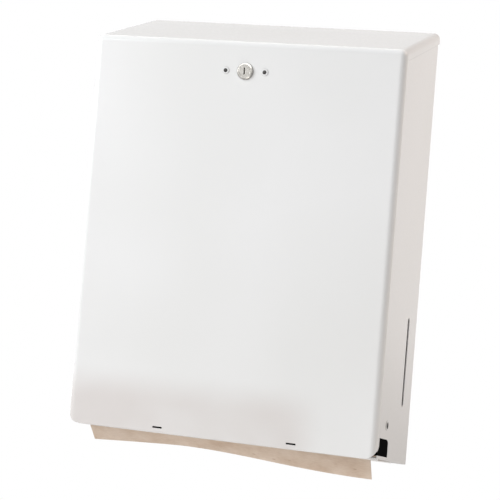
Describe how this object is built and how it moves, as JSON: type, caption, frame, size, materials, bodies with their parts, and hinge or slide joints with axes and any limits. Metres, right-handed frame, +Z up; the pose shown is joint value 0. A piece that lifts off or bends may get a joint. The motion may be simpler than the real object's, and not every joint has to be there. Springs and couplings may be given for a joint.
{
  "type": "c-fold towel dispenser",
  "caption": "Wall-hung steel dispenser for C-fold paper towels: locked cover hinged at its bottom edge, sloped top, sight slots in the sides and an open throat underneath.",
  "frame": {"origin": "middle of the four wall screws, on the wall plane", "axes": "+X to the right of someone facing the dispenser, +Y into the wall, +Z up; the front faces -Y"},
  "size_m": [0.2794, 0.1322, 0.3909],
  "materials": {
    "enamel": "white stoved enamel, semi-gloss",
    "lock_metal": "plated, bright",
    "zinc_steel": "zinc plated",
    "black_nylon": "moulded, matte",
    "kraft_paper": "unbleached, soft"
  },
  "bodies": {
    "cabinet": {"back_panel": "enamel", "left_side_panel": "enamel", "right_side_panel": "enamel", "top_rail": "enamel", "rear_shelf": "enamel", "front_rail": "enamel", "left_hinge_block": "black_nylon", "right_hinge_block": "black_nylon", "hinge_rod": "zinc_steel", "block_rivets": "enamel", "towel_pack": "kraft_paper", "lead_towel": "kraft_paper"},
    "cover": {"front_cover": "enamel", "left_knuckle": "black_nylon", "right_knuckle": "black_nylon", "lock_plate": "zinc_steel", "lock_rivets": "enamel", "lock_barrel": "lock_metal", "lock_washer": "zinc_steel", "lock_nut": "zinc_steel"},
    "lock": {"lock_plug": "lock_metal", "latch_cam": "zinc_steel", "cam_washer": "zinc_steel", "cam_screw": "zinc_steel"}
  },
  "joints": [
    {"name": "cover_hinge", "type": "hinge", "parent": "cabinet", "child": "cover", "pos_m": [0, -0.126, -0.16788], "axis": [1, 0, 0], "range_deg": [0, 100]},
    {"name": "lock_turn", "type": "hinge", "parent": "cover", "child": "lock", "pos_m": [0, -0.11, 0.14287], "axis": [0, -1, 0], "range_deg": [0, 90]}
  ]
}
